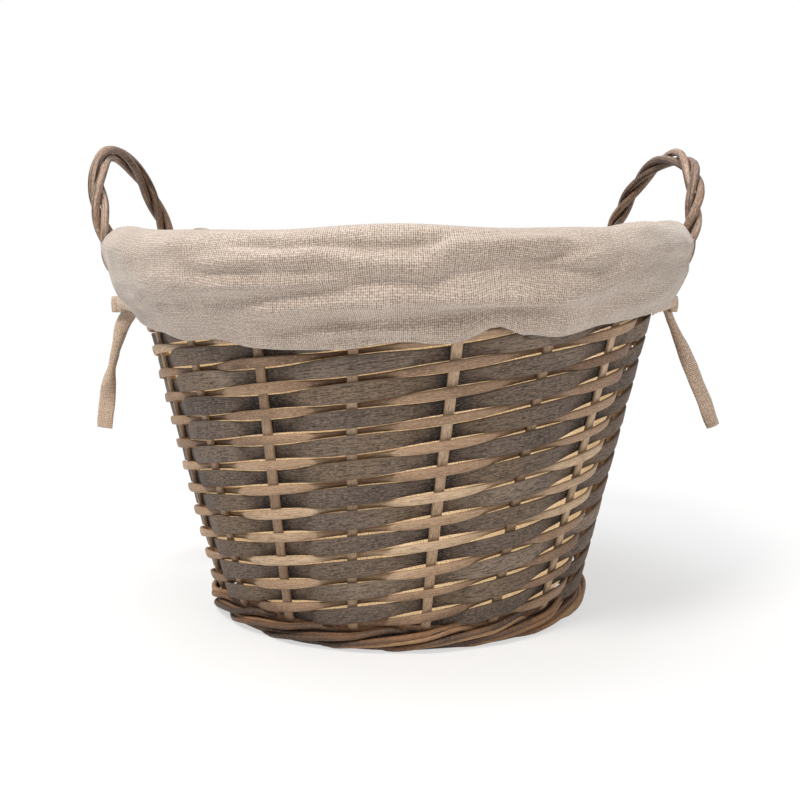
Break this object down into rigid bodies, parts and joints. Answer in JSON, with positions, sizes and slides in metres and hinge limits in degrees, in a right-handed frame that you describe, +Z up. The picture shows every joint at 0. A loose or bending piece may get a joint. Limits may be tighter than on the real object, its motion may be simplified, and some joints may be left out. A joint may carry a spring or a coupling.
{
  "type": "woven laundry basket",
  "caption": "Round tapered willow laundry basket in grey and natural French randing, with twisted willow handles and a tied linen liner folded over the rim.",
  "frame": {"origin": "middle of the footprint on the floor", "axes": "+Z up, front -Y, handles on +X and -X"},
  "size_m": [0.4661, 0.4104, 0.3303],
  "materials": {
    "grey_willow_strip": "grey-stained split willow strip, matt",
    "natural_willow_rod": "peeled willow rod, matt",
    "split_willow_stake": "split willow, matt",
    "handle_willow": "steamed willow rod, matt",
    "linen": "plain-woven natural linen",
    "linen_tie": "plain-woven natural linen ribbon"
  },
  "bodies": {
    "root": {"base_sticks_pierced": "natural_willow_rod", "base_sticks_threaded": "natural_willow_rod", "base_strip_1": "split_willow_stake", "base_strip_2": "split_willow_stake", "foot_wale_rod_1": "natural_willow_rod", "foot_wale_rod_2": "natural_willow_rod", "foot_wale_rod_3": "natural_willow_rod", "grey_weaver_01": "grey_willow_strip", "grey_weaver_02": "grey_willow_strip", "grey_weaver_03": "grey_willow_strip", "grey_weaver_04": "grey_willow_strip", "grey_weaver_05": "grey_willow_strip", "grey_weaver_06": "grey_willow_strip", "grey_weaver_07": "grey_willow_strip", "grey_weaver_08": "grey_willow_strip", "grey_weaver_09": "grey_willow_strip", "left_back_tie": "linen_tie", "left_front_tie": "linen_tie", "left_handle_strand_1": "handle_willow", "left_handle_strand_2": "handle_willow", "left_handle_strand_3": "handle_willow", "liner_back_skirt": "linen", "liner_base": "linen", "liner_front_skirt": "linen", "liner_wall": "linen", "natural_weaver_01": "natural_willow_rod", "natural_weaver_02": "natural_willow_rod", "natural_weaver_03": "natural_willow_rod", "natural_weaver_04": "natural_willow_rod", "natural_weaver_05": "natural_willow_rod", "natural_weaver_06": "natural_willow_rod", "natural_weaver_07": "natural_willow_rod", "natural_weaver_08": "natural_willow_rod", "natural_weaver_09": "natural_willow_rod", "right_back_tie": "linen_tie", "right_front_tie": "linen_tie", "right_handle_strand_1": "handle_willow", "right_handle_strand_2": "handle_willow", "right_handle_strand_3": "handle_willow", "rim_wale_rod_1": "natural_willow_rod", "rim_wale_rod_2": "natural_willow_rod", "rim_wale_rod_3": "natural_willow_rod", "stake_01": "split_willow_stake", "stake_02": "split_willow_stake", "stake_03": "split_willow_stake", "stake_04": "split_willow_stake", "stake_05": "split_willow_stake", "stake_06": "split_willow_stake", "stake_07": "split_willow_stake", "stake_08": "split_willow_stake", "stake_09": "split_willow_stake", "stake_10": "split_willow_stake", "stake_11": "split_willow_stake", "stake_12": "split_willow_stake", "stake_13": "split_willow_stake", "stake_14": "split_willow_stake", "stake_15": "split_willow_stake", "stake_16": "split_willow_stake", "stake_17": "split_willow_stake", "stake_18": "split_willow_stake"}
  },
  "joints": []
}
